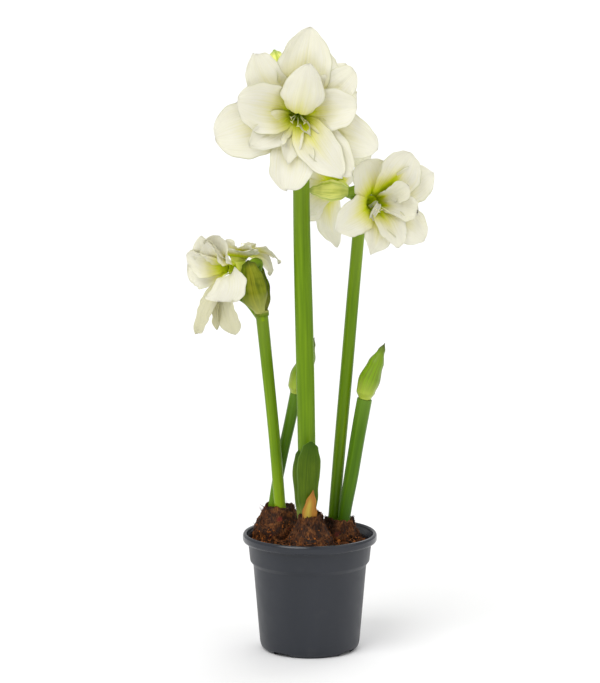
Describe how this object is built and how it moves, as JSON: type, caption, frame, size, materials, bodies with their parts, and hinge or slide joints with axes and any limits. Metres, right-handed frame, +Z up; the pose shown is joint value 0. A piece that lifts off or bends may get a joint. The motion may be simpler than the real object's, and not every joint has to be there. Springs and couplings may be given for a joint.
{
  "type": "potted double amaryllis",
  "caption": "Potted white double amaryllis: tall leafless stems with layered trumpet blooms and buds rise from papery bulbs in a round nursery pot.",
  "frame": {"origin": "middle of the pot's underside, on the surface it stands on", "axes": "+Z up, -Y towards the side that the widest open bloom faces, +X to the right as seen from that side"},
  "size_m": [0.2713, 0.1978, 0.6969],
  "materials": {
    "pot_plastic": "smooth dark grey moulded plastic, satin",
    "peat": "crumbly dark brown peat",
    "bulb_skin": "dry brown papery scales",
    "dry_scale": "thin orange-brown papery scale",
    "stem_green": "smooth waxy green",
    "leaf_green": "smooth dark green",
    "bud_green": "smooth pale green with darker ribs",
    "spathe_olive": "limp olive-green papery bract",
    "tepal_white": "soft creamy white with a yellow-green throat"
  },
  "bodies": {
    "root": {"pot": "pot_plastic", "soil": "peat", "bulb_left": "bulb_skin", "bulb_centre": "bulb_skin", "bulb_right": "bulb_skin", "bulb_scale_tip": "dry_scale", "stem_left": "stem_green", "stem_left_back": "stem_green", "stem_centre": "stem_green", "stem_right": "stem_green", "stem_right_front": "stem_green", "spathe_left": "spathe_olive", "spathe_centre": "spathe_olive", "spathe_right": "spathe_olive", "closed_bud_right": "bud_green", "closed_bud_left": "bud_green", "flower_bud_centre": "bud_green", "flower_bud_right": "bud_green", "leaf_front": "leaf_green", "leaf_behind": "leaf_green", "bloom_centre_front": "tepal_white", "bloom_centre_back": "tepal_white", "bloom_right_front": "tepal_white", "bloom_right_back": "tepal_white", "bloom_left_front": "tepal_white", "bloom_left_back": "tepal_white"}
  },
  "joints": []
}
